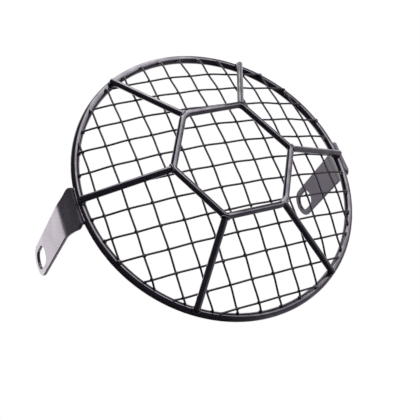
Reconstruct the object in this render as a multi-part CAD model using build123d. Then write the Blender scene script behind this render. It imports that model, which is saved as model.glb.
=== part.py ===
from build123d import *
import os
from math import atan, ceil, cos, floor, hypot, radians, sin, sqrt

# Headlight guard: a round rod ring with a domed woven wire mesh on its front, a hexagon of bent rod
# held ahead of the mesh by six straight spokes, and two slotted sheet brackets that reach back to the
# lamp's side bolts. Millimetres. X runs to the right bracket, Z is up and the guard's front faces -Y.
# The sizes below are worked out from the middle of the ring; the finished pieces are moved so that the
# origin lies midway between the two bolt slots.

# Ring, one round rod
RING_RADIUS = 87.5            # to the middle of the rod
RING_ROD = 5.0

# Hexagon, one rod bent round and closed
HEX_ROD = 4.0
HEX_CORNER = 39.0             # middle of the hexagon to where the lines of two sides meet
HEX_HEIGHT = 23.3             # its plane, ahead of the ring's plane
HEX_TIGHT_BEND = 3.0
HEX_MIDDLE_BEND = 5.0
HEX_WIDE_BEND = 8.0

# Spokes from the hexagon's corners to the front of the ring
SPOKE_ROD = 4.0
SPOKE_LAP = 0.7               # how far a spoke runs on past the middle of the ring's rod
SPOKE_END_CHAMFER = 0.3
SPOKE_NOTCH = 0.8             # how deep a spoke's inner end is notched round the hexagon's rod
WELD_SINK = 0.2               # a rod or sheet is notched this deep where it is welded on the ring

# Woven mesh
MESH_WIRE = 1.2
WIRE_SIDES = 8                # flat sides that stand for the round wire, inside its outline
MESH_CELLS = 12.57            # openings of the flat mesh across the middle of the ring's rod
MESH_SHIFT_SHARE_X = 0.184    # the weave isn't centred on the ring: share of an opening it is off by
MESH_SHIFT_SHARE_Z = 0.042
MESH_MARGIN_SHARE = 0.44      # no wire lies nearer to the ring's rod than this share of an opening
MESH_LEAN_ACROSS = -0.0095    # the weave is pulled out of square: rise of the wires that run across
MESH_LEAN_DOWN = -0.0165      # and how far the others go to the right for each millimetre up
MESH_DRAW_IN = 0.03           # share that the weave is drawn in at the ring as the dome is pressed
MESH_HEX_GAP = 4.8            # middle of the weave behind the hexagon's back, at the dome's top
MESH_PRESS_STEPS = 8          # rounds in which the drawn-in place of a wire settles
MESH_LANDING = 1.9            # wires come down to the ring this far inside the middle of its rod
MESH_SHORT = 0.6              # and end this far inside it
MESH_END_SLOPE = 0.4          # steepest way down from the last crossing to the ring
WEAVE_CLEARANCE = 0.14        # between two wires where they cross
SEAT_CLEARANCE = 0.03         # between a wire's end and the ring
SPOKE_CLEARANCE = 0.2         # between the weave and the spokes in front of it
SPOKE_PRESS = 0.1             # slope of the weave away from a spoke that holds it down
LEAST_KINK = 1.0              # a wire that turns by less runs straight on, degrees

# Brackets, bent sheet
BRACKET_SHEET = 2.0
BRACKET_ROOT_WIDTH = 28.0
BRACKET_ROOT_AHEAD = 1.2      # the root's end, ahead of the ring's plane
BRACKET_ROOT_ROUND = 6.0      # rounding of the root's corners, begun a sheet's thickness past its end
BRACKET_ROOT_FLARE = 18.0     # outward lean of the stretch at the ring, degrees
BRACKET_BEND_BACK = 16.0      # the bend, behind the ring's plane
BRACKET_BEND_RADIUS = 20.0
BRACKET_EDGE_CHAMFER = 0.4    # the cut outline's edges are broken, the root's end on the ring stays sharp
LEG_SPLAY = 6.2               # outward lean of the leg, degrees
LEG_LENGTH = 69.0             # bend to tip
LEG_WIDTH = 20.3
LEG_DROP = 1.7                # middle of the bracket, below the middle of the ring
LEG_TAPER_END = 4.0           # from the bend to where the leg has its full form
SLOT_WIDTH = 11.5
SLOT_LENGTH = 20.0

# Corners of the hexagon: each one's bend, and how many degrees the corner and its spoke's outer end lie
# off the even sixth, because the rod was bent and welded by hand
CORNERS = [
    ("right", HEX_TIGHT_BEND, 0.0, -0.3),
    ("upper_right", HEX_MIDDLE_BEND, 2.3, 0.8),
    ("upper_left", HEX_WIDE_BEND, 2.3, 3.5),
    ("left", HEX_TIGHT_BEND, 0.0, 0.0),
    ("lower_left", HEX_TIGHT_BEND, 0.0, -1.5),
    ("lower_right", HEX_WIDE_BEND, 0.0, 0.3),
]

CORNER_STEP = 360 / len(CORNERS)
RING_FRONT = RING_ROD / 2
RING_INSIDE = RING_RADIUS - RING_ROD / 2
FOOT_RUN = 2 * RING_ROD               # length of a spoke's outer end that the wires keep clear of
SHEET_EDGE_LONGEST = 1.5 * BRACKET_SHEET    # edges that run through the sheet are shorter than this
MESH_PITCH = 2 * RING_RADIUS / MESH_CELLS    # between neighbouring wires, before the mesh is pressed
MESH_SHIFT_X = MESH_SHIFT_SHARE_X * MESH_PITCH
MESH_SHIFT_Z = MESH_SHIFT_SHARE_Z * MESH_PITCH
MESH_HEIGHT = HEX_HEIGHT - HEX_ROD / 2 - MESH_HEX_GAP
CRIMP = (MESH_WIRE + WEAVE_CLEARANCE) / 2
WIRE_SEAT = RING_FRONT + SEAT_CLEARANCE + MESH_WIRE / 2
WEAVE_SEAT = WIRE_SEAT + CRIMP
SEAT_RADIUS = RING_INSIDE - MESH_WIRE / 2


def ahead(x, front, z):
    """A point given by its place in the ring's plane and its distance ahead of that plane."""
    return Vector(x, -front, z)


def polar(radius, angle, front):
    return ahead(radius * cos(radians(angle)), front, radius * sin(radians(angle)))


def make_ring():
    return Solid.make_torus(RING_RADIUS, RING_ROD / 2, Plane((0, 0, 0), z_dir=(0, -1, 0)))


def make_hexagon():
    corners = []
    for index, (_, _, drift, _) in enumerate(CORNERS):
        corners.append(polar(HEX_CORNER, index * CORNER_STEP + drift, HEX_HEIGHT))
    bends = [bend for _, bend, _, _ in CORNERS]
    path = FilletPolyline(*corners, radius=bends, close=True)
    section = Plane(path @ 0, z_dir=path % 0) * Circle(HEX_ROD / 2)
    return sweep(section, path=path)


def spoke_axis(index):
    """Inner end in the hexagon's bend, and the point straight ahead of the ring's rod."""
    _, bend, corner_drift, end_drift = CORNERS[index]
    angle = index * CORNER_STEP
    bend_inset = bend * (1 / cos(radians(CORNER_STEP / 2)) - 1)
    inner = polar(HEX_CORNER - bend_inset, angle + corner_drift, HEX_HEIGHT)
    return inner, polar(RING_RADIUS, angle + end_drift, (RING_ROD + SPOKE_ROD) / 2 - WELD_SINK)


def make_spoke(index, hexagon, ring):
    inner, outer = spoke_axis(index)
    along = (outer - inner).normalized()
    start = inner + along * (HEX_ROD / 2 - SPOKE_NOTCH)
    length = (outer - start).length + SPOKE_LAP
    rod = Solid.make_cylinder(SPOKE_ROD / 2, length, Plane(start, z_dir=along))
    end = max(rod.faces().filter_by(GeomType.PLANE), key=lambda face: (face.center() - inner).length)
    rod = chamfer(end.edges(), SPOKE_END_CHAMFER)
    pieces = (rod - hexagon - ring).solids()
    return max(pieces, key=lambda piece: piece.volume)


def spoke_foot(index):
    """Room that a spoke's outer end needs on the ring's front."""
    inner, outer = spoke_axis(index)
    along = (outer - inner).normalized()
    start = outer - along * FOOT_RUN
    length = FOOT_RUN + 2 * SPOKE_LAP
    return Solid.make_cylinder(SPOKE_ROD / 2 + SEAT_CLEARANCE, length, Plane(start, z_dir=along))


def leaned(u, w):
    """A point of the square mesh once the mesh is pulled out of square."""
    return u + MESH_LEAN_DOWN * w, w + MESH_LEAN_ACROSS * u


def drawn_in(u, w):
    """Place in the ring's plane of a point of the flat mesh, once the dome is pressed."""
    flat = hypot(u, w)
    radius = flat
    for _ in range(MESH_PRESS_STEPS):
        radius = flat / (1 + MESH_DRAW_IN * (radius / RING_RADIUS) ** 2)
    share = radius / flat if flat else 1
    return u * share, w * share


def dome_front(radius):
    """Spherical dome from its top down to the weave's seat on the ring."""
    rise = MESH_HEIGHT - WEAVE_SEAT
    sphere = (SEAT_RADIUS ** 2 + rise ** 2) / (2 * rise)
    return MESH_HEIGHT - sphere + sqrt(sphere ** 2 - radius ** 2)


def under_spoke(index, x, z):
    """How far along a spoke a point of the ring's plane lies, as a share, and how far to its left."""
    inner, outer = spoke_axis(index)
    run = Vector(outer.X - inner.X, outer.Z - inner.Z)
    offset = Vector(x - inner.X, z - inner.Z)
    return offset.dot(run) / run.length ** 2, run.cross(offset).Z / run.length


def spoke_limit(index, share):
    """Highest middle of the weave that a spoke leaves room for at a share of its length."""
    inner, outer = spoke_axis(index)
    lean = atan((outer.Y - inner.Y) / hypot(outer.X - inner.X, outer.Z - inner.Z))
    room = SPOKE_ROD / 2 + SPOKE_CLEARANCE + MESH_WIRE / 2 + CRIMP
    return -inner.Y - (outer.Y - inner.Y) * share - room / cos(lean)


def weave_front(x, z):
    """Middle of the weave ahead of the ring's plane: domed, held down under each spoke."""
    radius = hypot(x, z)
    if radius > SEAT_RADIUS:
        return WEAVE_SEAT
    front = dome_front(radius)
    for index in range(len(CORNERS)):
        share, aside = under_spoke(index, x, z)
        if share > 0:
            front = min(front, spoke_limit(index, share) + abs(aside) * SPOKE_PRESS)
    return front


def flat_lines(shift):
    """Numbered wire lines of the flat mesh that keep clear of the ring once drawn in."""
    reach = RING_RADIUS - MESH_MARGIN_SHARE * MESH_PITCH
    first = ceil((-2 * RING_RADIUS - shift) / MESH_PITCH)
    last = floor((2 * RING_RADIUS - shift) / MESH_PITCH)
    lines = [(number, shift + number * MESH_PITCH) for number in range(first, last + 1)]
    return [(number, line) for number, line in lines if abs(drawn_in(line, 0)[0]) < reach]


def held_under_spokes(stations, place):
    """Add a low point to a wire where it would press into a spoke between two crossings."""
    held = [stations[0]]
    for (along_0, front_0), (along_1, front_1) in zip(stations, stations[1:]):
        for index in range(len(CORNERS)):
            share_0, aside_0 = under_spoke(index, *place(along_0))
            share_1, aside_1 = under_spoke(index, *place(along_1))
            if aside_0 * aside_1 >= 0:
                continue
            part = aside_0 / (aside_0 - aside_1)
            along = along_0 + part * (along_1 - along_0)
            share = share_0 + part * (share_1 - share_0)
            highest = spoke_limit(index, share) + CRIMP
            inside = share > 0 and hypot(*place(along)) < SEAT_RADIUS
            apart = min(along - along_0, along_1 - along) > MESH_WIRE
            if inside and apart and front_0 + part * (front_1 - front_0) > highest:
                held.append((along, highest))
        held.append((along_1, front_1))
    return held


def bent_points(points):
    """Leave out the points at which a wire runs straight on."""
    kept = points[:1]
    for here, after in zip(points[1:], points[2:]):
        if (here - kept[-1]).get_angle(after - here) > LEAST_KINK:
            kept.append(here)
    return kept + points[-1:]


def make_wire(number, line, shift_along, across):
    """One crimped wire, over and under its neighbours, with its ends lapped on the ring."""

    def flat(along):
        return leaned(along, line) if across else leaned(line, along)

    def place(along):
        return drawn_in(*flat(along))

    def leaves(radius):
        """The two places along the wire that come to lie at a radius of the pressed mesh."""
        flat_radius = radius * (1 + MESH_DRAW_IN * (radius / RING_RADIUS) ** 2)
        start = Vector(*flat(0))
        step = Vector(*flat(1)) - start
        nearest = -start.dot(step) / step.dot(step)
        half = sqrt(flat_radius ** 2 - (start + step * nearest).length ** 2) / step.length
        return nearest - half, nearest + half

    ends = leaves(RING_RADIUS - MESH_SHORT)
    lands = leaves(RING_RADIUS - MESH_LANDING)

    crossings = []
    first = ceil((ends[0] - MESH_WIRE - shift_along) / MESH_PITCH)
    last = floor((ends[1] + MESH_WIRE - shift_along) / MESH_PITCH)
    for other in range(first, last + 1):
        along = shift_along + other * MESH_PITCH
        over = (number + other) % 2 == (0 if across else 1)
        x, z = place(along)
        crossings.append((along, weave_front(x, z) + (CRIMP if over else -CRIMP)))

    stations = crossings
    for side, land, end in ((-1, lands[0], ends[0]), (1, lands[1], ends[1])):
        outermost, front = crossings[0] if side < 0 else crossings[-1]
        tail = []
        for run in (side * (land - outermost), max(side * (end - outermost), MESH_WIRE)):
            if run >= MESH_WIRE:
                tail.append((outermost + side * run, max(WIRE_SEAT, front - MESH_END_SLOPE * run)))
        stations = stations + tail if side > 0 else tail[::-1] + stations

    points = []
    for along, front in held_under_spokes(stations, place):
        x, z = place(along)
        points.append(ahead(x, front, z))
    points = bent_points(points)
    start_along = points[1] - points[0]
    start_plane = Plane(points[0], x_dir=start_along.cross(Vector(0, 1, 0)), z_dir=start_along)
    section = start_plane * RegularPolygon(MESH_WIRE / 2, WIRE_SIDES)
    return sweep(section, path=Polyline(*points), transition=Transition.RIGHT)


def snip(wire, feet):
    """Take off the stub of a wire where a spoke's foot stands on the ring."""
    for foot in feet:
        if wire.bounding_box().overlaps(foot.bounding_box()):
            wire = max((wire - foot).solids(), key=lambda piece: piece.volume)
    return wire


def leg_direction(lean):
    return Vector(sin(radians(lean)), cos(radians(lean)))


def sheet_normal(lean):
    return Vector(cos(radians(lean)), -sin(radians(lean)))


def bracket_bend():
    """Where the two inner faces of the right bracket meet, level with the middle of the ring."""
    seat = Vector(RING_RADIUS, 0) + sheet_normal(BRACKET_ROOT_FLARE) * (RING_ROD / 2 - WELD_SINK)
    run = (BRACKET_BEND_BACK - seat.Y) / cos(radians(BRACKET_ROOT_FLARE))
    return seat + leg_direction(BRACKET_ROOT_FLARE) * run


def tip_middle():
    """Distance from the bend to the middle of the leg's round tip."""
    return LEG_LENGTH - LEG_WIDTH / 2


def slot_middle():
    return tip_middle() + SLOT_WIDTH / 2 - SLOT_LENGTH / 2


def root_length():
    return (BRACKET_BEND_BACK + BRACKET_ROOT_AHEAD) / cos(radians(BRACKET_ROOT_FLARE))


def bracket_strip():
    """Side view of the bent sheet, wide enough to be trimmed to its outline."""
    bend = bracket_bend()
    inner = [bend - leg_direction(BRACKET_ROOT_FLARE) * root_length(), bend,
             bend + leg_direction(LEG_SPLAY) * LEG_LENGTH]
    middle_lean = (BRACKET_ROOT_FLARE + LEG_SPLAY) / 2
    corner_reach = BRACKET_SHEET / cos(radians((BRACKET_ROOT_FLARE - LEG_SPLAY) / 2))
    outer = [inner[0] + sheet_normal(BRACKET_ROOT_FLARE) * BRACKET_SHEET,
             bend + sheet_normal(middle_lean) * corner_reach,
             inner[2] + sheet_normal(LEG_SPLAY) * BRACKET_SHEET]
    inside = FilletPolyline(*inner, radius=BRACKET_BEND_RADIUS)
    outside = FilletPolyline(*outer, radius=BRACKET_BEND_RADIUS + BRACKET_SHEET)
    side_view = make_face([inside, outside, Line(inner[0], outer[0]), Line(inner[2], outer[2])])
    return extrude(side_view, amount=BRACKET_ROOT_WIDTH, both=True)


def flare_rise(run, rise):
    """How far an edge that curves out by a rise over a run has come a sheet's thickness further on."""
    radius = (run ** 2 + rise ** 2) / (2 * rise)
    return radius - sqrt(radius ** 2 - (run + BRACKET_SHEET) ** 2)


def bracket_outline():
    """Front view of the sheet in the leg's own plane, measured from the bend: root, leg and slot."""
    run = LEG_TAPER_END + root_length() * cos(radians(BRACKET_ROOT_FLARE - LEG_SPLAY))
    half_leg = LEG_WIDTH / 2
    half_root = half_leg + flare_rise(run, BRACKET_ROOT_WIDTH / 2 - half_leg)
    cut = LEG_TAPER_END - run - BRACKET_SHEET
    tip = tip_middle()
    edges = [
        Line((LEG_TAPER_END, half_leg), (tip, half_leg)),
        ThreePointArc((tip, half_leg), (LEG_LENGTH, 0), (tip, -half_leg)),
        Line((tip, -half_leg), (LEG_TAPER_END, -half_leg)),
        TangentArc((LEG_TAPER_END, -half_leg), (cut, -half_root), tangent=(-1, 0)),
        Line((cut, -half_root), (cut, half_root)),
        TangentArc((LEG_TAPER_END, half_leg), (cut, half_root), tangent=(-1, 0)),
    ]
    plate = make_face(edges)
    plate = fillet(plate.vertices().sort_by(Axis.X)[:2], BRACKET_ROOT_ROUND)
    return plate - Pos(slot_middle(), 0) * SlotOverall(SLOT_LENGTH, SLOT_WIDTH)


def make_bracket(ring):
    """Right bracket: the bent strip trimmed to its outline, and notched to sit on the ring."""
    middle = bracket_bend() - Vector(0, 0, LEG_DROP)
    leg_plane = Plane(middle, x_dir=leg_direction(LEG_SPLAY), z_dir=sheet_normal(LEG_SPLAY))
    trim = extrude(leg_plane * bracket_outline(), amount=LEG_LENGTH, both=True)
    sheet = (bracket_strip() & trim).solids()[0]
    long_edges = sheet.edges().filter_by(lambda edge: edge.length > SHEET_EDGE_LONGEST)
    outline_edges = long_edges.filter_by(Axis.Z, reverse=True)
    sheet = chamfer(outline_edges, BRACKET_EDGE_CHAMFER)
    return (sheet - ring).solids()[0]


def bolt_middle():
    """The right slot's middle on the leg's inner face."""
    return bracket_bend() + leg_direction(LEG_SPLAY) * slot_middle()


def make_pieces():
    ring = make_ring()
    hexagon = make_hexagon()
    pieces = {"outer_ring": ring, "hexagon_frame": hexagon}
    for index, (name, _, _, _) in enumerate(CORNERS):
        pieces["spoke_" + name] = make_spoke(index, hexagon, ring)
    right = make_bracket(ring)
    pieces["bracket_right"] = right
    pieces["bracket_left"] = mirror(right, about=Plane.YZ)
    feet = [spoke_foot(index) for index in range(len(CORNERS))]
    rows = flat_lines(MESH_SHIFT_Z)
    columns = flat_lines(MESH_SHIFT_X)
    for count, (number, line) in enumerate(rows, 1):
        pieces[f"mesh_wire_across_{count:02d}"] = snip(make_wire(number, line, MESH_SHIFT_X, True), feet)
    for count, (number, line) in enumerate(columns, 1):
        pieces[f"mesh_wire_down_{count:02d}"] = snip(make_wire(number, line, MESH_SHIFT_Z, False), feet)
    return pieces


def main():
    os.makedirs("parts", exist_ok=True)
    to_bolts = Pos(0, -bolt_middle().Y, LEG_DROP)
    for name, piece in make_pieces().items():
        export_step(to_bolts * piece, f"parts/{name}.step")
        print(name, round(piece.volume, 1))


main()
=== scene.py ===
# %% [markdown]
# # A headlight guard in black enamel
# The guard is a ring of round rod with a domed wire mesh on its front, a hexagon of rod held ahead of the
# mesh by six spokes, and two slotted sheet brackets. The exact solids come first, as a frame that is
# never moved. Everything that this script adds is placed by measuring those solids, in metres and in the
# same axes.

# %% Load the solids and keep their box
import math

import bmesh
import bpy
from mathutils import Matrix, Vector, noise
from mathutils.bvhtree import BVHTree
from mathutils.kdtree import KDTree


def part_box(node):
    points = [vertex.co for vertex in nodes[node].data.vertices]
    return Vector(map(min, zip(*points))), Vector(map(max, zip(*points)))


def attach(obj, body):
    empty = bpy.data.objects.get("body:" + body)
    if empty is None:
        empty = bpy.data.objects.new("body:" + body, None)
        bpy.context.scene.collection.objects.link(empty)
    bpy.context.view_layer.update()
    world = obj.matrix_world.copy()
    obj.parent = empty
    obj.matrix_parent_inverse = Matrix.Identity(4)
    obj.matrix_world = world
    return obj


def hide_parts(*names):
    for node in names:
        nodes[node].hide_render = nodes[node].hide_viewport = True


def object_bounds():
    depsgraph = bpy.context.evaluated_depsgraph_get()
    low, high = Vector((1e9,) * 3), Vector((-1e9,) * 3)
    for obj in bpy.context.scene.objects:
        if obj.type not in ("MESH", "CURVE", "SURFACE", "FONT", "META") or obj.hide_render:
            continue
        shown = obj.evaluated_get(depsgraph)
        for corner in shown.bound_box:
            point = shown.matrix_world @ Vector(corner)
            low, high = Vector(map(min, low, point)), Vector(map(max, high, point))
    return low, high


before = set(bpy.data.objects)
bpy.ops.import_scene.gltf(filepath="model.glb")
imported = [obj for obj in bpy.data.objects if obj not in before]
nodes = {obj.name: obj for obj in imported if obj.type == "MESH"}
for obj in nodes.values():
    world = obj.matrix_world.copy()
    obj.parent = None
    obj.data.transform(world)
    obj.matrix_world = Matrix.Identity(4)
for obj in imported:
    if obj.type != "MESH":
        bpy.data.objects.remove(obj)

solid_low, solid_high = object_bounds()
MM = 0.001
print("nodes:", len(nodes), "box in mm:", [round(v / MM, 1) for v in solid_high - solid_low])

# %% [markdown]
# ## Measure the rods
# A learner might type the sizes in again. Reading them from the boxes of the solids is safer, because the
# looks then follow the part when one of its sizes changes. The ring's box gives its middle, its rod and
# its radius. The hexagon's box gives the middle from which the spokes spread, and the box of a spoke that
# lies level gives the thickness of the spokes.

# %% Sizes of the ring, the hexagon and the spokes
ring_low, ring_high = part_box("outer_ring")
ring_middle = (ring_low + ring_high) / 2
ring_rod = ring_high.y - ring_low.y
ring_radius = (ring_high.x - ring_low.x - ring_rod) / 2
hexagon_low, hexagon_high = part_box("hexagon_frame")
hexagon_middle = (hexagon_low + hexagon_high) / 2
spoke_low, spoke_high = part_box("spoke_left")
spoke_rod = spoke_high.z - spoke_low.z
spoke_names = sorted(n for n in nodes if n.startswith("spoke_"))
wire_names = sorted(n for n in nodes if n.startswith("mesh_wire_"))
bracket_names = sorted(n for n in nodes if n.startswith("bracket_"))
print("ring rod %.2f mm on radius %.2f mm" % (ring_rod / MM, ring_radius / MM))
print("spoke rod %.2f mm" % (spoke_rod / MM))

# %% [markdown]
# ## The skin of the enamel
# Sprayed enamel is never quite flat. It dries with a faint orange peel, it sags into slow waves that make
# a highlight wander, and it lies a little thicker here than there, so that its gloss changes. All the
# paints on the guard share this effect, so it is one node group with named inputs, and each material
# gives it values of its own. It works in the object's own coordinates, which are metres, and needs no
# unwrapping.

# %% Noise for the skin
NOISE_LOW, NOISE_HIGH = 0.3, 0.7    # nearly all values of a noise texture lie between these


def add_noise(tree, coordinates, scale, detail, x, y):
    """A noise texture on the given coordinates."""
    texture = tree.nodes.new("ShaderNodeTexNoise")
    texture.location = (x, y)
    texture.inputs["Detail"].default_value = detail
    tree.links.new(coordinates, texture.inputs["Vector"])
    tree.links.new(scale, texture.inputs["Scale"])
    return texture.outputs["Fac"]


def add_range(tree, value, low, high, x, y):
    """Spread a noise value over a range given by two sockets."""
    spread = tree.nodes.new("ShaderNodeMapRange")
    spread.location = (x, y)
    spread.inputs["From Min"].default_value = NOISE_LOW
    spread.inputs["From Max"].default_value = NOISE_HIGH
    tree.links.new(value, spread.inputs["Value"])
    tree.links.new(low, spread.inputs["To Min"])
    tree.links.new(high, spread.inputs["To Max"])
    return spread.outputs["Result"]


print("noise is spread from", NOISE_LOW, "to", NOISE_HIGH)

# %% Node group enamel_skin: inputs and outputs
skin = bpy.data.node_groups.new("enamel_skin", "ShaderNodeTree")
for label, kind, value in (
    ("Thick Colour", "NodeSocketColor", (0.006, 0.006, 0.007, 1)),
    ("Thin Colour", "NodeSocketColor", (0.02, 0.019, 0.023, 1)),
    ("Glossiest", "NodeSocketFloat", 0.2),
    ("Dullest", "NodeSocketFloat", 0.35),
    ("Cloud Scale", "NodeSocketFloat", 60.0),
    ("Peel Scale", "NodeSocketFloat", 700.0),
    ("Sag Scale", "NodeSocketFloat", 200.0),
    ("Sag Share", "NodeSocketFloat", 0.7),
    ("Least Coat", "NodeSocketFloat", 0.2),
    ("Most Coat", "NodeSocketFloat", 1.0),
    ("Coat Scale", "NodeSocketFloat", 120.0),
):
    socket = skin.interface.new_socket(label, in_out="INPUT", socket_type=kind)
    socket.default_value = value
for label, kind in (
    ("Colour", "NodeSocketColor"),
    ("Roughness", "NodeSocketFloat"),
    ("Coat", "NodeSocketFloat"),
    ("Height", "NodeSocketFloat"),
):
    skin.interface.new_socket(label, in_out="OUTPUT", socket_type=kind)
print("group:", skin.name, "with", len(skin.interface.items_tree), "sockets")

# %% Node group enamel_skin: nodes and links
CLOUD_DETAIL = 3.0            # finer noises laid over each texture
PEEL_DETAIL = 2.0
WAVE_DETAIL = 1.0
skin_in = skin.nodes.new("NodeGroupInput")
skin_in.location = (-900, 0)
skin_out = skin.nodes.new("NodeGroupOutput")
skin_out.location = (500, 0)
skin_place = skin.nodes.new("ShaderNodeTexCoord")
skin_place.location = (-900, -300)
place = skin_place.outputs["Object"]
cloud = add_noise(skin, place, skin_in.outputs["Cloud Scale"], CLOUD_DETAIL, -500, 250)
peel = add_noise(skin, place, skin_in.outputs["Peel Scale"], PEEL_DETAIL, -500, -50)
sag = add_noise(skin, place, skin_in.outputs["Sag Scale"], WAVE_DETAIL, -500, -350)
tint = skin.nodes.new("ShaderNodeMix")
tint.data_type = "RGBA"
tint.location = (0, 300)
skin.links.new(cloud, tint.inputs["Factor"])
skin.links.new(skin_in.outputs["Thick Colour"], tint.inputs["A"])
skin.links.new(skin_in.outputs["Thin Colour"], tint.inputs["B"])
gloss = add_range(skin, cloud, skin_in.outputs["Glossiest"], skin_in.outputs["Dullest"], 0, 50)
runs = add_noise(skin, place, skin_in.outputs["Coat Scale"], WAVE_DETAIL, -500, -650)
cover = add_range(skin, runs, skin_in.outputs["Least Coat"], skin_in.outputs["Most Coat"], 0, -500)
waves = skin.nodes.new("ShaderNodeMix")
waves.location = (0, -250)
skin.links.new(skin_in.outputs["Sag Share"], waves.inputs["Factor"])
skin.links.new(peel, waves.inputs["A"])
skin.links.new(sag, waves.inputs["B"])
skin.links.new(tint.outputs["Result"], skin_out.inputs["Colour"])
skin.links.new(gloss, skin_out.inputs["Roughness"])
skin.links.new(cover, skin_out.inputs["Coat"])
skin.links.new(waves.outputs["Result"], skin_out.inputs["Height"])
print("nodes in the group:", len(skin.nodes))

# %% [markdown]
# ## Four coats of the same paint
# The guard is black all over, yet the paint looks different on each kind of piece. Rods show long
# wandering highlights, thin wires are duller, flat sheet is the smoothest, and weld beads stay lumpy. One
# Principled BSDF for each is enough: the group drives its colour, its roughness and the weight of its
# coat, and a Bump node turns peel and sags into small slopes. Scales are counted per metre. The shader's
# own coat lies over the pigment as a clear top layer and gives the sharp core of a highlight; the wires
# do without it. The faint violet of the pigment shows in what the lower layer reflects.

# %% Make an enamel from the skin
COAT_IOR = 1.6
COAT_ROUGHNESS = 0.06
PIGMENT_SHEEN = (0.92, 0.78, 1.0, 1)   # tint of what the lower layer reflects


def make_enamel(name, thick, thin, gloss, scales, sag_share, depth, coat):
    """Black enamel: the shared skin on a Principled BSDF, with its peel and sags as bump."""
    glossiest, dullest = gloss
    cloud_scale, peel_scale, sag_scale, coat_scale = scales
    least_coat, most_coat = coat
    material = bpy.data.materials.new(name)
    material.use_nodes = True
    tree = material.node_tree
    shader = tree.nodes["Principled BSDF"]
    shader.inputs["Specular Tint"].default_value = PIGMENT_SHEEN
    shader.inputs["Coat Weight"].default_value = least_coat
    shader.inputs["Coat Roughness"].default_value = COAT_ROUGHNESS
    shader.inputs["Coat IOR"].default_value = COAT_IOR
    coat_skin = tree.nodes.new("ShaderNodeGroup")
    coat_skin.node_tree = skin
    coat_skin.location = (-500, 0)
    for label, value in (
        ("Thick Colour", (*thick, 1)),
        ("Thin Colour", (*thin, 1)),
        ("Glossiest", glossiest),
        ("Dullest", dullest),
        ("Cloud Scale", cloud_scale),
        ("Peel Scale", peel_scale),
        ("Sag Scale", sag_scale),
        ("Sag Share", sag_share),
        ("Coat Scale", coat_scale),
        ("Least Coat", least_coat),
        ("Most Coat", most_coat),
    ):
        coat_skin.inputs[label].default_value = value
    bump = tree.nodes.new("ShaderNodeBump")
    bump.location = (-250, -250)
    bump.inputs["Distance"].default_value = depth
    tree.links.new(coat_skin.outputs["Colour"], shader.inputs["Base Color"])
    tree.links.new(coat_skin.outputs["Roughness"], shader.inputs["Roughness"])
    if most_coat > least_coat:    # a coat that is the same all over stays on the shader's own socket
        tree.links.new(coat_skin.outputs["Coat"], shader.inputs["Coat Weight"])
    tree.links.new(coat_skin.outputs["Height"], bump.inputs["Height"])
    tree.links.new(bump.outputs["Normal"], shader.inputs["Normal"])
    return material


print("clear coat: roughness", COAT_ROUGHNESS, "and index of refraction", COAT_IOR)

# %% Materials: rod, wire, sheet and weld enamel
rod_enamel = make_enamel(
    "rod_enamel", thick=(0.006, 0.0055, 0.008), thin=(0.014, 0.012, 0.017),
    gloss=(0.08, 0.20), scales=(55.0, 620.0, 170.0, 130.0),
    sag_share=0.85, depth=0.12 * MM, coat=(0.35, 1.0))
wire_enamel = make_enamel(
    "wire_enamel", thick=(0.005, 0.005, 0.006), thin=(0.012, 0.011, 0.014),
    gloss=(0.36, 0.50), scales=(120.0, 1100.0, 300.0, 200.0),
    sag_share=0.8, depth=0.02 * MM, coat=(0.0, 0.0))
sheet_enamel = make_enamel(
    "sheet_enamel", thick=(0.011, 0.0095, 0.013), thin=(0.026, 0.022, 0.030),
    gloss=(0.20, 0.30), scales=(45.0, 420.0, 90.0, 60.0),
    sag_share=0.8, depth=0.012 * MM, coat=(0.0, 0.15))
weld_enamel = make_enamel(
    "weld_enamel", thick=(0.006, 0.0055, 0.007), thin=(0.016, 0.014, 0.018),
    gloss=(0.16, 0.32), scales=(260.0, 1100.0, 600.0, 300.0),
    sag_share=0.5, depth=0.05 * MM, coat=(0.2, 1.0))
for name, node in nodes.items():
    coat = sheet_enamel if name in bracket_names else wire_enamel if name in wire_names else rod_enamel
    node.data.materials.clear()
    node.data.materials.append(coat)
print("materials:", [m.name for m in (rod_enamel, wire_enamel, sheet_enamel, weld_enamel)])

# %% [markdown]
# ## Round, crimped wires
# The solids give each wire eight flat sides and sharp corners, which is light to compute but shows close
# up. Real mesh wire is round, and paint softens its crimps to shallow waves. A Bezier curve with a round
# bevel gives both. Its points come from the solid itself: the corners of a wire lie in small rings of
# eight, and the middle of each ring is a point of the wire's middle line. A wire that is trimmed beside a
# spoke has a ragged last ring, which counts as one.

# %% Middle line of a wire
RING_SPACING = 0.6 * MM       # rings of corners lie further apart than this along the wire
RING_CORNERS = 8
CORNER_DIGITS = 7             # corners that agree to this many decimals of a metre are one
X_AXIS, Z_AXIS = 0, 2


def corner_rings(node, axis):
    """Rings of corners along a wire that runs mainly along the given axis."""
    places = {tuple(round(c, CORNER_DIGITS) for c in v.co) for v in node.data.vertices}
    corners = sorted(places, key=lambda c: c[axis])
    rings = [[corners[0]]]
    for corner in corners[1:]:
        if corner[axis] - rings[-1][-1][axis] > RING_SPACING:
            rings.append([])
        rings[-1].append(corner)
    whole = [index for index, ring in enumerate(rings) if len(ring) == RING_CORNERS]
    first, last = whole[0], whole[-1]
    before, after = sum(rings[:first], []), sum(rings[last + 1:], [])
    return [ring for ring in [before, *rings[first:last + 1], after] if ring]


def ring_centre(ring):
    return sum((Vector(c) for c in ring), Vector()) / len(ring)


rings = {name: corner_rings(nodes[name], X_AXIS if "across" in name else Z_AXIS) for name in wire_names}
reaches = sorted(min((Vector(c) - ring_centre(ring)).length for c in ring) for ring in rings[wire_names[0]])
wire_radius = reaches[len(reaches) // 2]
print("wire radius %.3f mm" % (wire_radius / MM))

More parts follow.
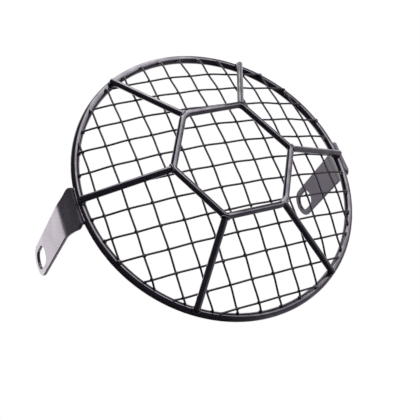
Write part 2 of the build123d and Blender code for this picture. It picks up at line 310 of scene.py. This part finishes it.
# %% [markdown]
# ## Ease the crimps
# Where two wires cross, the paint has filled the gap and the crossing looks almost flat. Each point of a
# middle line is therefore moved part of the way to the straight line between its two neighbours, which
# flattens the waves and leaves the dome. It moves straight to that line, not along the wire, so the
# crossings stay where they are. A spot weld also presses the end of a wire into the ring, so the last
# point sinks a little and the tip is shorter. A tip that stands out, past the ring or ahead of it, is
# brought back to where the other tips are. Two wires that cross right on the ring are welded flat, so
# they don't stand far ahead of it and get no knot.

# %% Eased middle lines
CRIMP_EASE = 0.25             # 0 keeps the whole wave, 0.5 leaves a straight run
LONG_TRIM = 1.7 * MM          # by which the wires are cut shorter at the upper right of the ring
SHORT_TRIM = 0.1 * MM         # and at its lower left
UPPER_RIGHT = Vector((1, 0, 1)).normalized()
END_SINK = 0.55 * MM          # by which a weld presses the end of a wire into the ring
END_RISE = 0.3 * MM           # the most that the middle of a tip stands ahead of the ring
USUAL_REACH = -0.6 * MM       # where most wires end, measured outwards from the middle of the ring's rod
TRIM_SHARE = 0.6              # a trim takes at most this share of a wire's last run
RIM_RISE = 0.8 * MM           # the most that a crossing on the ring stands ahead of it


def pressed(end, before):
    """The last point of a wire after its spot weld."""
    run = before - end
    inward = run.normalized()
    outward = Vector((end.x - ring_middle.x, 0, end.z - ring_middle.z))
    share = (outward.dot(UPPER_RIGHT) / ring_radius + 1) / 2
    past = max(outward.length - ring_radius - USUAL_REACH, 0)
    trim = SHORT_TRIM + (LONG_TRIM - SHORT_TRIM) * share - past / inward.dot(outward.normalized())
    tip = end + inward * min(trim, run.length * TRIM_SHARE)
    tip.y = max(tip.y + END_SINK, ring_low.y - END_RISE)
    return tip


def on_ring(point):
    """Whether a point lies over the ring's rod, seen from the front."""
    reach = Vector((point.x - ring_middle.x, 0, point.z - ring_middle.z)).length
    return reach > ring_radius - ring_rod / 2


def eased(points):
    """A middle line with flatter waves and pressed ends."""
    inner = []
    for before, here, after in zip(points, points[1:], points[2:]):
        reach = (here - before).length
        straight = before.lerp(after, reach / (reach + (after - here).length))
        point = here.lerp(straight, CRIMP_EASE)
        if on_ring(point):
            point.y = max(point.y, ring_low.y - RIM_RISE)
        inner.append(point)
    return [pressed(points[0], points[1]), *inner, pressed(points[-1], points[-2])]


wire_lines = {name: eased([ring_centre(ring) for ring in rings[name]]) for name in wire_names}
print("points on the wires:", sum(len(line) for line in wire_lines.values()))

# %% [markdown]
# ## Draw the wires
# A curve with a round bevel is the quickest way to a bent wire: one profile follows the whole line, and
# automatic handles make each wave smooth. The curve is then turned into a mesh, because a finished piece
# is a mesh. Each wire takes the place of the solid whose line it follows.

# %% Bevelled curves, turned into meshes
WIRE_SMOOTHNESS = 5           # steps between two points of a wire
WIRE_ROUNDNESS = 3            # bevel resolution, which gives ten corners round its section


def shade_smooth(obj):
    obj.data.polygons.foreach_set("use_smooth", [True] * len(obj.data.polygons))


def round_wire(name, points):
    """A round wire along smooth waves through the points."""
    curve = bpy.data.curves.new(name, "CURVE")
    curve.dimensions = "3D"
    curve.bevel_depth = wire_radius
    curve.bevel_resolution = WIRE_ROUNDNESS
    curve.resolution_u = WIRE_SMOOTHNESS
    curve.use_fill_caps = True
    spline = curve.splines.new("BEZIER")
    spline.bezier_points.add(len(points) - 1)
    for bend, point in zip(spline.bezier_points, points):
        bend.co = point
        bend.handle_left_type = bend.handle_right_type = "AUTO"
    drawn = bpy.data.objects.new(name + "_line", curve)
    bpy.context.collection.objects.link(drawn)
    bpy.context.view_layer.update()
    mesh = bpy.data.meshes.new_from_object(drawn.evaluated_get(bpy.context.evaluated_depsgraph_get()))
    bpy.data.objects.remove(drawn)
    wire = bpy.data.objects.new(name, mesh)
    bpy.context.collection.objects.link(wire)
    mesh.materials.clear()
    mesh.materials.append(wire_enamel)
    shade_smooth(wire)
    return wire


for name in wire_names:
    wire = round_wire("round_" + name, wire_lines[name])
    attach(wire, "root")
    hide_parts(name)
print("wires:", len(wire_names))

# %% [markdown]
# ## Lumps of paint and weld
# Paint collects where wires cross, and welds leave small beads where wires, spokes and brackets meet the
# ring. All of these are soft lumps without edges. A lump starts here as a few overlapping balls. A voxel
# remesh fuses them into one closed skin, and a smoothing pass draws the necks between the balls into
# fillets.

# %% Fuse balls into soft lumps
LUMP_VOXEL = 0.16 * MM
LUMP_SMOOTHING = 4            # passes
LUMP_FINENESS = 2             # subdivisions of a ball


def fuse_lumps(name, balls, material):
    """One closed, softly waved skin from overlapping balls, each a middle and a radius."""
    shape = bmesh.new()
    for middle, radius in balls:
        bmesh.ops.create_icosphere(shape, subdivisions=LUMP_FINENESS, radius=radius,
                                   matrix=Matrix.Translation(middle))
    mesh = bpy.data.meshes.new(name)
    shape.to_mesh(mesh)
    shape.free()
    lump = bpy.data.objects.new(name, mesh)
    bpy.context.collection.objects.link(lump)
    remesh = lump.modifiers.new("fuse", "REMESH")
    remesh.mode = "VOXEL"
    remesh.voxel_size = LUMP_VOXEL
    soften = lump.modifiers.new("soften", "SMOOTH")
    soften.iterations = LUMP_SMOOTHING
    bpy.context.view_layer.update()
    fused = bpy.data.meshes.new_from_object(lump.evaluated_get(bpy.context.evaluated_depsgraph_get()))
    lump.modifiers.clear()
    lump.data = fused
    bpy.data.meshes.remove(mesh)
    fused.name = name
    fused.materials.clear()
    fused.materials.append(material)
    shade_smooth(lump)
    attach(lump, "root")


print("lumps are fused in steps of %.2f mm" % (LUMP_VOXEL / MM))

# %% [markdown]
# ## Paint at the crossings
# Close up, each crossing of the mesh is a small knot: paint fills the four corners between the two wires.
# Every wire has a point of its middle line at each crossing, so a search tree over the points of the
# wires that run down finds the partner of each point on a wire that runs across. The knot is a ball at
# the crossing and four small ones in its corners.

# %% Knots of paint, one object for each wire that runs across
CROSSING_REACH = 0.5 * MM     # two wires cross where their points lie this close, seen from the front
KNOT_RADIUS = 1.35            # of the wire's radius
KNOT_CORNER = 0.95            # from the crossing to a corner ball, of the wire's radius, each way
KNOT_CORNER_RADIUS = 0.7      # of the wire's radius
KNOT_WAVE = 0.2               # share by which knots differ
KNOT_PATCH = 5 * MM           # over which their size changes

down_points = [point for name in wire_names if "down" in name for point in wire_lines[name]]
down_tree = KDTree(len(down_points))
for index, point in enumerate(down_points):
    down_tree.insert((point.x, 0, point.z), index)
down_tree.balance()

knot_count = 0
for name in wire_names:
    if "across" not in name:
        continue
    balls = []
    for point in wire_lines[name]:
        _, index, apart = down_tree.find((point.x, 0, point.z))
        if apart > CROSSING_REACH or on_ring(point):
            continue
        crossing = (point + down_points[index]) / 2
        size = wire_radius * (1 + KNOT_WAVE * noise.noise(crossing / KNOT_PATCH))
        balls.append((crossing, KNOT_RADIUS * size))
        for x, z in ((-1, -1), (1, -1), (1, 1), (-1, 1)):
            corner = crossing + Vector((x, 0, z)) * KNOT_CORNER * size
            balls.append((corner, KNOT_CORNER_RADIUS * size))
        knot_count += 1
    if balls:
        fuse_lumps("knots_" + name, balls, wire_enamel)
print("knots:", knot_count)

# %% [markdown]
# ## Beads in a groove
# A weld bead fills the groove between two pieces. It starts as a guess at its line. Each point of the
# guess is drawn into the groove, halfway between the nearest points of the two pieces, and gets a ball
# that bridges the gap.

# %% Draw a line of points into the groove between two solids
BEAD_OVERLAP = 0.38 * MM      # how far a bead rises over each of its two pieces
BEAD_LARGEST = 0.95 * MM
BEAD_WAVE = 0.18              # share by which the lumps of a bead differ
BEAD_RHYTHM = 2.4             # radians of that wave from one ball to the next


def surface_tree(node):
    return BVHTree.FromPolygons([v.co for v in node.data.vertices], [p.vertices for p in node.data.polygons])


def groove_balls(guess, tree_a, tree_b, overlap=BEAD_OVERLAP):
    """Middle and radius of a ball for each point, set between the two surfaces."""
    balls = []
    for count, point in enumerate(guess):
        near_a = tree_a.find_nearest(point)[0]
        near_b = tree_b.find_nearest(point)[0]
        gap = (near_a - near_b).length
        lump = 1 + BEAD_WAVE * math.sin(BEAD_RHYTHM * count) + BEAD_WAVE * noise.noise(point / MM)
        balls.append(((near_a + near_b) / 2, min(gap / 2 + overlap * lump, BEAD_LARGEST)))
    return balls


ring_tree = surface_tree(nodes["outer_ring"])
hexagon_tree = surface_tree(nodes["hexagon_frame"])
print("faces to weld to:", len(nodes["outer_ring"].data.polygons), "on the ring,",
      len(nodes["hexagon_frame"].data.polygons), "on the hexagon")

# %% [markdown]
# ## Where the wires end
# A wire lies on the front of the ring and is spot-welded there, so its end sinks into a small pool of
# metal and paint. The pool fills the groove on both sides of the wire and rounds off its tip.

# %% Pools at the ends of the wires
FRONT = Vector((0, -1, 0))
POOL_STEPS = (0.4, 1.0, 1.6)  # along the wire from its end, in millimetres
POOL_OVERLAP = 0.14 * MM      # how far a pool rises over the wire and the ring

pool_count = 0
for family in ("across", "down"):
    balls = []
    for name in wire_names:
        if family not in name:
            continue
        tree = surface_tree(nodes[name])
        line = wire_lines[name]
        for end, before in ((line[0], line[1]), (line[-1], line[-2])):
            inward = (before - end).normalized()
            side = inward.cross(FRONT).normalized()
            guess = []
            for step in POOL_STEPS:
                foot = end + inward * step * MM - FRONT * wire_radius
                guess += [foot + side * wire_radius, foot, foot - side * wire_radius]
            balls += groove_balls(guess, tree, ring_tree, POOL_OVERLAP)
            pool_count += 1
    fuse_lumps("wire_pools_" + family, balls, weld_enamel)
print("pools:", pool_count)

# %% [markdown]
# ## Where the spokes meet the hexagon and the ring
# A spoke is a straight rod, so its own direction can be read from its two ends: the points of the solid
# nearest the hexagon's middle, and those furthest from it. The inner bead goes round the spoke where it
# meets the hexagon. The outer bead goes round the spot where the spoke touches the front of the ring.

# %% Ends of each spoke, and its two beads
END_SHARE = 0.12              # share of a spoke's length that counts as its end
INNER_BEAD_STEPS = 16
INNER_BEAD_SHIFT = 1.0 * MM   # from the spoke's end towards the hexagon
OUTER_BEAD_STEPS = 14
OUTER_BEAD_REACH = 0.55       # of the spoke's rod, from the middle of the contact


def spoke_ends(node):
    """Middles of the inner and outer end of a spoke."""
    points = sorted((v.co.copy() for v in node.data.vertices), key=lambda p: (p - hexagon_middle).length)
    nearest, furthest = (points[0] - hexagon_middle).length, (points[-1] - hexagon_middle).length
    reach = (furthest - nearest) * END_SHARE
    groups = ([p for p in points if (p - hexagon_middle).length < nearest + reach],
              [p for p in points if (p - hexagon_middle).length > furthest - reach])
    middles = []
    for group in groups:
        low = Vector(min(p[i] for p in group) for i in range(3))
        high = Vector(max(p[i] for p in group) for i in range(3))
        middles.append((low + high) / 2)
    return middles


def ring_of_points(middle, across, up, reach, steps):
    turns = [2 * math.pi * step / steps for step in range(steps)]
    return [middle + (across * math.cos(turn) + up * math.sin(turn)) * reach for turn in turns]


for name in spoke_names:
    where = name.removeprefix("spoke_")
    inner, outer = spoke_ends(nodes[name])
    along = (outer - inner).normalized()
    side = along.cross(FRONT).normalized()
    tree = surface_tree(nodes[name])
    foot = inner - along * INNER_BEAD_SHIFT
    guess = ring_of_points(foot, side, side.cross(along), spoke_rod / 2, INNER_BEAD_STEPS)
    fuse_lumps("bead_hexagon_" + where, groove_balls(guess, tree, hexagon_tree), weld_enamel)

    outward = Vector((outer.x - ring_middle.x, 0, outer.z - ring_middle.z)).normalized()
    contact = ring_middle + outward * ring_radius + FRONT * ring_rod / 2
    reach = spoke_rod * OUTER_BEAD_REACH
    guess = ring_of_points(contact, outward, outward.cross(FRONT), reach, OUTER_BEAD_STEPS)
    fuse_lumps("bead_ring_" + where, groove_balls(guess, tree, ring_tree), weld_enamel)
print("spoke beads:", 2 * len(spoke_names))

# %% [markdown]
# ## Where the brackets meet the ring
# A bracket stands with its inner face against the outside of the ring. Its weld runs along the ring in
# the two grooves ahead of and behind the contact, a little short of the bracket's upper and lower
# corners.

# %% Beads along the brackets
BRACKET_BEAD_SHARE = 0.8      # of the bracket's width at the ring
BRACKET_BEAD_STEPS = 68
BRACKET_BEAD_REACH = 0.45     # of the ring's rod, outwards from the middle of the rod
BRACKET_BEAD_OFFSET = 0.34    # of the ring's rod, ahead of and behind the ring's plane

for name in bracket_names:
    low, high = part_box(name)
    tree = surface_tree(nodes[name])
    way = 1 if low.x > 0 else -1
    reach = ring_radius + ring_rod * BRACKET_BEAD_REACH
    middle_turn = math.asin(((low.z + high.z) / 2 - ring_middle.z) / reach)
    half_turn = math.asin((high.z - low.z) / 2 * BRACKET_BEAD_SHARE / reach)
    for part, shift in (("front", 1), ("back", -1)):
        guess = []
        for step in range(BRACKET_BEAD_STEPS):
            turn = middle_turn + half_turn * (2 * step / (BRACKET_BEAD_STEPS - 1) - 1)
            guess.append(ring_middle + Vector((way * math.cos(turn), 0, math.sin(turn))) * reach
                         + FRONT * shift * ring_rod * BRACKET_BEAD_OFFSET)
        fuse_lumps("bead_" + name + "_" + part, groove_balls(guess, tree, ring_tree), weld_enamel)
print("bracket beads:", 2 * len(bracket_names))

# %% [markdown]
# ## The floor
# The guard hangs by its bolts, so nothing holds it up from below. A plain pale floor lies well below the
# camera, which looks up at the guard, and it catches the guard's soft shadow in views from above. It
# stays out of the reflections: there the dark studio takes its place, which keeps the lower side of each
# rod black.

# %% Floor
FLOOR_BELOW = 0.26            # under the lowest point of the guard
FLOOR_HALF = 1.0
FLOOR_COLOUR = (0.86, 0.86, 0.86, 1)
FLOOR_ROUGHNESS = 0.8
floor_mesh = bpy.data.meshes.new("floor")
floor_height = solid_low.z - FLOOR_BELOW
floor_corners = [(x * FLOOR_HALF, y * FLOOR_HALF, floor_height)
                 for x, y in ((-1, -1), (1, -1), (1, 1), (-1, 1))]
floor_mesh.from_pydata(floor_corners, [], [(0, 1, 2, 3)])
floor = bpy.data.objects.new("floor", floor_mesh)
bpy.context.collection.objects.link(floor)
floor_paint = bpy.data.materials.new("floor_paint")
floor_paint.use_nodes = True
floor_shader = floor_paint.node_tree.nodes["Principled BSDF"]
floor_shader.inputs["Base Color"].default_value = FLOOR_COLOUR
floor_shader.inputs["Roughness"].default_value = FLOOR_ROUGHNESS
floor_mesh.materials.append(floor_paint)
floor.visible_glossy = False
print("floor at %.0f mm" % (floor_height / MM))

# %% [markdown]
# ## The camera
# The photograph was taken close up, from the lower left, with the camera rolled so that the guard's up
# direction leans to the left. A camera is set by its place, the way it looks and the way it holds its
# top, and a matrix made of those three directions is clearer than three angles.

# %% Camera
CAMERA_FROM_RING = Vector((-0.1697, -0.3022, -0.1314))
CAMERA_LOOK = Vector((0.4325, 0.8455, 0.3130)).normalized()
CAMERA_TOP = Vector((0.1850, -0.4230, 0.8870))
CAMERA_LENS = 52.17           # millimetres, on the sensor below
CAMERA_SENSOR = 36.0
CAMERA_NEAR = 0.01
camera_data = bpy.data.cameras.new("camera")
camera_data.lens = CAMERA_LENS
camera_data.sensor_width = CAMERA_SENSOR
camera_data.clip_start = CAMERA_NEAR
camera = bpy.data.objects.new("camera", camera_data)
bpy.context.collection.objects.link(camera)
camera_right = CAMERA_LOOK.cross(CAMERA_TOP).normalized()
camera_top = camera_right.cross(CAMERA_LOOK)
camera.matrix_world = Matrix.Translation(ring_middle + CAMERA_FROM_RING) @ Matrix(
    (camera_right, camera_top, -CAMERA_LOOK)).transposed().to_4x4()
bpy.context.scene.camera = camera
print("camera %.0f mm from the ring" % (CAMERA_FROM_RING.length / MM))

# %% [markdown]
# ## Studio light
# The paint is nearly black, so what the eye sees on it is reflection. A large soft lamp stands ahead of
# and above the guard and draws a pale streak along each rod, and a smaller one on the right adds a second
# streak. A panel behind the guard brightens the left leg: flat sheet acts as a mirror, so the panel
# stands where a ray from the camera goes after it bounces off the leg.

# %% Lamps
KEY_TOWARDS = Vector((0.12, -0.66, 0.74)).normalized()
KEY_DISTANCE = 0.7
KEY_SIZE = (0.5, 1.1)         # width and height
KEY_WATTS = 8.0
SIDE_TOWARDS = Vector((0.64, -0.76, 0.06)).normalized()
SIDE_DISTANCE = 0.7
SIDE_SIZE = (0.4, 0.4)
SIDE_WATTS = 1.3
PANEL_DISTANCE = 0.4
PANEL_SIZE = (0.25, 0.25)
PANEL_WATTS = 0.36
PANEL_TINT = (1.0, 0.93, 1.0)
LOOKS_LEFT = -0.5             # a face whose normal has less than this along X looks left


def soft_lamp(name, target, towards, distance, size, watts):
    """An area lamp that stands off a target and faces it."""
    data = bpy.data.lights.new(name, "AREA")
    data.shape = "RECTANGLE"
    data.size, data.size_y = size
    data.energy = watts
    lamp = bpy.data.objects.new(name, data)
    bpy.context.collection.objects.link(lamp)
    lamp.location = target + towards * distance
    lamp.rotation_euler = towards.to_track_quat("Z", "Y").to_euler()
    lamp.visible_camera = False
    return lamp


def leg_mirror(node):
    """Middle of a leg's outer face, and where a ray from the camera goes after it bounces there."""
    low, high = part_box(node.name)
    half_way = (low.y + high.y) / 2
    faces = [p for p in node.data.polygons if p.normal.x < LOOKS_LEFT and p.center.y > half_way]
    area = sum(p.area for p in faces)
    middle = sum((p.center * p.area for p in faces), Vector()) / area
    normal = sum((p.normal * p.area for p in faces), Vector()).normalized()
    return middle, (middle - camera.location).normalized().reflect(normal)


soft_lamp("key_lamp", ring_middle, KEY_TOWARDS, KEY_DISTANCE, KEY_SIZE, KEY_WATTS)
soft_lamp("side_lamp", ring_middle, SIDE_TOWARDS, SIDE_DISTANCE, SIDE_SIZE, SIDE_WATTS)
leg_middle, leg_bounce = leg_mirror(nodes["bracket_left"])
panel = soft_lamp("back_panel", leg_middle, leg_bounce, PANEL_DISTANCE, PANEL_SIZE, PANEL_WATTS)
panel.data.color = PANEL_TINT
print("the left leg mirrors", [round(v, 2) for v in leg_bounce])

# %% [markdown]
# ## The world
# The world lights the rest evenly. For rays from the camera, and for reflections, it is plain white
# instead, which gives a clean background without raising that even light.

# %% World
BACKDROP = (1, 1, 1, 1)
BACKDROP_STRENGTH = 1.0       # at which white shows as white
EVEN_LIGHT = (0.98, 0.97, 1.0, 1)
EVEN_STRENGTH = 0.5
world = bpy.data.worlds.new("studio")
bpy.context.scene.world = world
world.use_nodes = True
tree = world.node_tree
tree.nodes.clear()
seen = tree.nodes.new("ShaderNodeBackground")
seen.inputs["Color"].default_value = BACKDROP
seen.inputs["Strength"].default_value = BACKDROP_STRENGTH
lit = tree.nodes.new("ShaderNodeBackground")
lit.inputs["Color"].default_value = EVEN_LIGHT
lit.inputs["Strength"].default_value = EVEN_STRENGTH
path = tree.nodes.new("ShaderNodeLightPath")
first_rays = tree.nodes.new("ShaderNodeMath")
first_rays.operation = "MAXIMUM"
white_rays = tree.nodes.new("ShaderNodeMath")
white_rays.operation = "MAXIMUM"
choose = tree.nodes.new("ShaderNodeMixShader")
sky = tree.nodes.new("ShaderNodeOutputWorld")
tree.links.new(path.outputs["Is Camera Ray"], first_rays.inputs[0])
tree.links.new(path.outputs["Is Glossy Ray"], first_rays.inputs[1])
tree.links.new(first_rays.outputs["Value"], white_rays.inputs[0])
tree.links.new(path.outputs["Is Transmission Ray"], white_rays.inputs[1])
tree.links.new(white_rays.outputs["Value"], choose.inputs["Fac"])
tree.links.new(lit.outputs["Background"], choose.inputs[1])
tree.links.new(seen.outputs["Background"], choose.inputs[2])
tree.links.new(choose.outputs["Shader"], sky.inputs["Surface"])
bpy.context.scene.view_settings.view_transform = "Standard"

# %% [markdown]
# ## The dark side of the studio
# In a studio only the backdrop is white, and the room behind the camera is dark. Gloss paint needs that
# darkness: with white all round, every rod would be the same flat grey. A large shell round the guard
# stands for the room. It is open towards the backdrop and fades from white at the opening to black. On
# the right it glows a little, like a pale wall does, which keeps the rods from going quite black there.
# It shows in reflections only, so it neither shades the guard nor hides the view.

# %% Dark shell, open towards the backdrop
ROOM_RADIUS = 1.6
ROOM_FINENESS = 4             # subdivisions of the shell
ROOM_TOWARDS = Vector((0.43, 0.75, 0.50)).normalized()   # middle of the opening, behind and above
ROOM_OPEN = math.radians(46)  # half of the opening
room_shape = bmesh.new()
bmesh.ops.create_icosphere(room_shape, subdivisions=ROOM_FINENESS, radius=ROOM_RADIUS)
open_faces = [f for f in room_shape.faces if f.calc_center_median().angle(ROOM_TOWARDS) < ROOM_OPEN]
bmesh.ops.delete(room_shape, geom=open_faces, context="FACES")
room_mesh = bpy.data.meshes.new("dark_room")
room_shape.to_mesh(room_mesh)
room_shape.free()
room = bpy.data.objects.new("dark_room", room_mesh)
bpy.context.collection.objects.link(room)
room.location = ring_middle
room.visible_camera = room.visible_diffuse = room.visible_shadow = room.visible_transmission = False
print("room faces:", len(room_mesh.polygons))

# %% Fades on the shell
ROOM_DARK = math.radians(78)  # from here on the room is black
ROOM_LEVEL = 1.0              # as white as the backdrop, at the edge of the opening
ROOM_TINT = (0.98, 0.93, 1.0, 1)
GLOW_TOWARDS = Vector((0.95, 0.0, -0.30)).normalized()   # middle of the glow, on the right
GLOW_FULL = math.radians(30)  # the glow has its whole level up to here
GLOW_GONE = math.radians(76)  # and ends here
GLOW_LEVEL = 0.55


def add_fade(tree, place, towards, full, gone, level):
    """A level near one direction that fades to nothing at an angle from it."""
    aim = tree.nodes.new("ShaderNodeVectorMath")
    aim.operation = "DOT_PRODUCT"
    aim.inputs[1].default_value = towards / ROOM_RADIUS    # so that the product is the cosine of the angle
    fade = tree.nodes.new("ShaderNodeMapRange")
    fade.interpolation_type = "SMOOTHSTEP"
    fade.inputs["From Min"].default_value = math.cos(gone)
    fade.inputs["From Max"].default_value = math.cos(full)
    fade.inputs["To Max"].default_value = level
    tree.links.new(place, aim.inputs[0])
    tree.links.new(aim.outputs["Value"], fade.inputs["Value"])
    return fade.outputs["Result"]


room_paint = bpy.data.materials.new("room_fade")
room_paint.use_nodes = True
room_paint.cycles.emission_sampling = "NONE"
tree = room_paint.node_tree
tree.nodes.clear()
spot = tree.nodes.new("ShaderNodeTexCoord")
backdrop = add_fade(tree, spot.outputs["Object"], ROOM_TOWARDS, ROOM_OPEN, ROOM_DARK, ROOM_LEVEL)
wall = add_fade(tree, spot.outputs["Object"], GLOW_TOWARDS, GLOW_FULL, GLOW_GONE, GLOW_LEVEL)
brighter = tree.nodes.new("ShaderNodeMath")
brighter.operation = "MAXIMUM"
glow = tree.nodes.new("ShaderNodeEmission")
glow.inputs["Color"].default_value = ROOM_TINT
room_out = tree.nodes.new("ShaderNodeOutputMaterial")
tree.links.new(backdrop, brighter.inputs[0])
tree.links.new(wall, brighter.inputs[1])
tree.links.new(brighter.outputs["Value"], glow.inputs["Strength"])
tree.links.new(glow.outputs["Emission"], room_out.inputs["Surface"])
room_mesh.materials.append(room_paint)
print("nodes in the room's paint:", len(tree.nodes))
